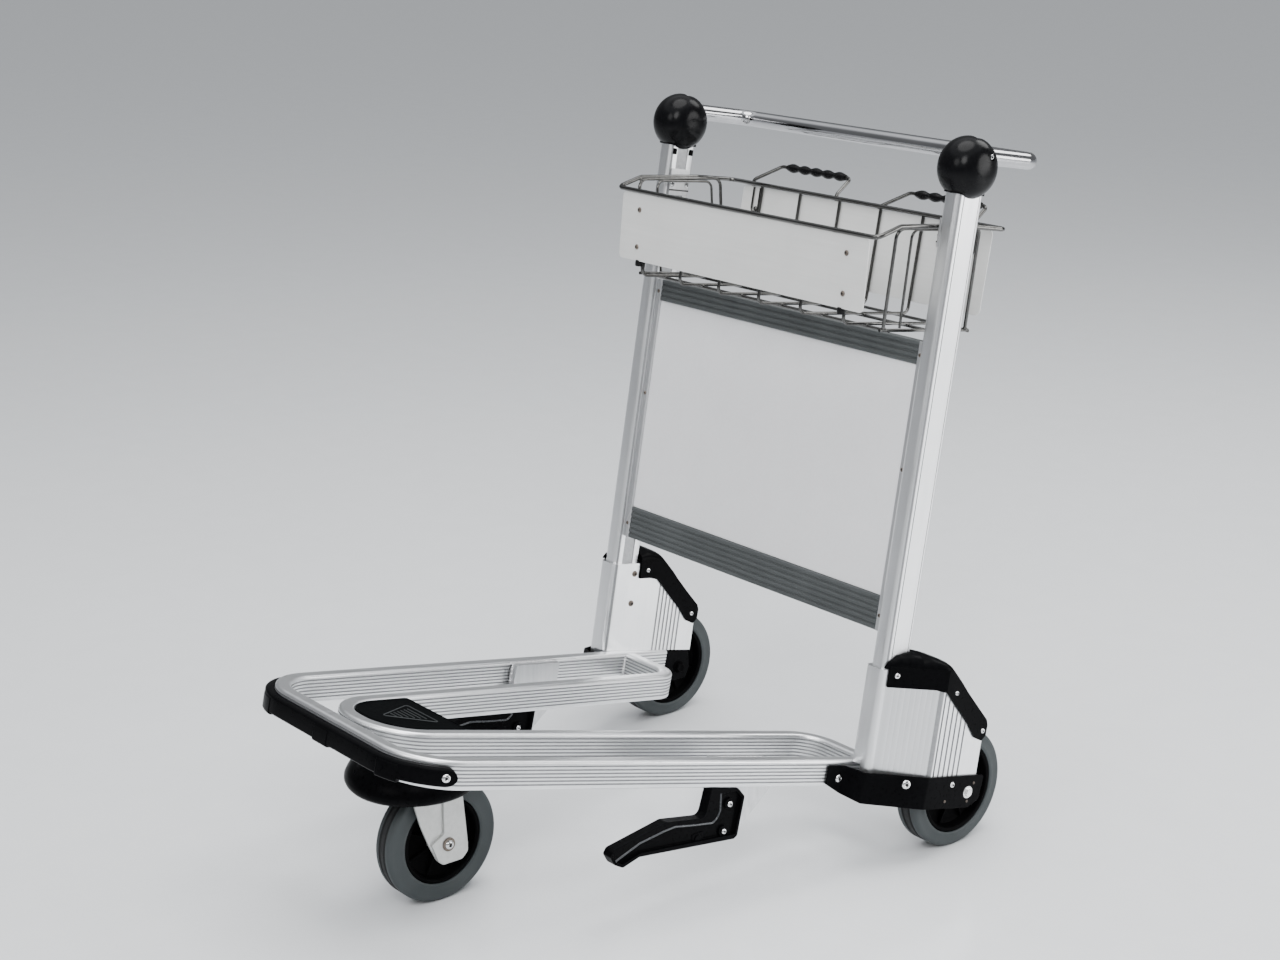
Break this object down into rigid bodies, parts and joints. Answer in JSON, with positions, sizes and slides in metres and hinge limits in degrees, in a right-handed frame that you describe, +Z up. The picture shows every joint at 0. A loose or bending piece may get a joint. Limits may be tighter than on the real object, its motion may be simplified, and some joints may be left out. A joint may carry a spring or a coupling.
{
  "type": "luggage trolley",
  "caption": "Airport luggage trolley with two aluminium rail loops, posts with a sign panel, wire basket and a press-down brake handle.",
  "frame": {"origin": "on the floor, at the middle of the footprint", "axes": "+X towards the trolley's left side, -Y towards the nose, +Z up"},
  "size_m": [0.7522, 1.0545, 1.0622],
  "materials": {
    "rail_aluminium": "brushed, ribbed extrusion",
    "satin_aluminium": "satin",
    "grey_anodised": "dark grey anodised",
    "chrome_tube": "polished tube",
    "zinc_steel": "zinc plated",
    "basket_steel": "plated wire",
    "painted_sheet": "light grey sheet",
    "white_panel": "smooth light sheet",
    "black_plastic": "moulded, slight sheen",
    "black_hub": "moulded",
    "grey_rubber": "grey elastic tyre",
    "brake_rubber": "rubber block"
  },
  "bodies": {
    "frame": {"outer_rail": "rail_aluminium", "inner_rail": "rail_aluminium", "nose_bumper": "black_plastic", "nose_plate": "black_plastic", "caster_mount": "black_plastic", "swivel_bearing": "zinc_steel", "lower_bar": "grey_anodised", "upper_bar": "grey_anodised", "sign_panel": "white_panel", "basket_frame": "basket_steel", "front_sheet": "painted_sheet", "rear_sheet": "painted_sheet", "step_arm_left": "black_plastic", "arm_mount_left": "satin_aluminium", "housing_left": "rail_aluminium", "guard_left": "black_plastic", "axle_bracket_left": "black_plastic", "inner_plate_left": "black_plastic", "rear_axle_left": "zinc_steel", "post_left": "rail_aluminium", "knob_left": "black_plastic", "hinge_pin_left": "zinc_steel", "side_channel_left": "satin_aluminium", "lift_wire_left": "basket_steel", "grip_left": "black_plastic", "basket_bracket_left": "satin_aluminium", "step_arm_right": "black_plastic", "arm_mount_right": "satin_aluminium", "housing_right": "rail_aluminium", "guard_right": "black_plastic", "axle_bracket_right": "black_plastic", "inner_plate_right": "black_plastic", "rear_axle_right": "zinc_steel", "post_right": "rail_aluminium", "knob_right": "black_plastic", "hinge_pin_right": "zinc_steel", "side_channel_right": "satin_aluminium", "lift_wire_right": "basket_steel", "grip_right": "black_plastic", "basket_bracket_right": "satin_aluminium"},
    "caster": {"caster_fork": "zinc_steel", "swivel_nut": "zinc_steel", "caster_axle": "zinc_steel"},
    "caster_wheel": {"caster_hub": "black_hub", "caster_tyre": "grey_rubber"},
    "handle": {"handle_bar": "chrome_tube", "brake_lever_left": "zinc_steel", "brake_lever_right": "zinc_steel"},
    "wheel_left": {"rear_left_hub": "black_hub", "rear_left_tyre": "grey_rubber"},
    "brake_left": {"brake_rod_left": "zinc_steel", "brake_shoe_left": "brake_rubber"},
    "wheel_right": {"rear_right_hub": "black_hub", "rear_right_tyre": "grey_rubber"},
    "brake_right": {"brake_rod_right": "zinc_steel", "brake_shoe_right": "brake_rubber"}
  },
  "joints": [
    {"name": "caster_swivel", "type": "hinge", "parent": "frame", "child": "caster", "pos_m": [0, -0.3776, 0.192], "axis": [0, 0, 1], "continuous": true},
    {"name": "caster_wheel_spin", "type": "hinge", "parent": "caster", "child": "caster_wheel", "pos_m": [0, -0.3416, 0.092], "axis": [1, 0, 0], "continuous": true},
    {"name": "wheel_left_spin", "type": "hinge", "parent": "frame", "child": "wheel_left", "pos_m": [0.332, 0.3624, 0.092], "axis": [1, 0, 0], "continuous": true},
    {"name": "wheel_right_spin", "type": "hinge", "parent": "frame", "child": "wheel_right", "pos_m": [-0.332, 0.3624, 0.092], "axis": [1, 0, 0], "continuous": true},
    {"name": "handle_press", "type": "hinge", "parent": "frame", "child": "handle", "pos_m": [0, 0.38467, 1.03446], "axis": [1, 0, 0], "range_deg": [-12, 0], "stiffness_Nm_per_rad": 8, "springref_deg": 34.38},
    {"name": "brake_left_lift", "type": "slide", "parent": "frame", "child": "brake_left", "axis": [0, 0.1663, 0.9861], "range_m": [0, 0.005]},
    {"name": "brake_right_lift", "type": "slide", "parent": "frame", "child": "brake_right", "axis": [0, 0.1663, 0.9861], "range_m": [0, 0.005]}
  ],
  "couplings": [
    {"joint": "brake_left_lift", "follows": "handle_press", "m_per_rad": -0.022},
    {"joint": "brake_right_lift", "follows": "handle_press", "m_per_rad": -0.022}
  ]
}
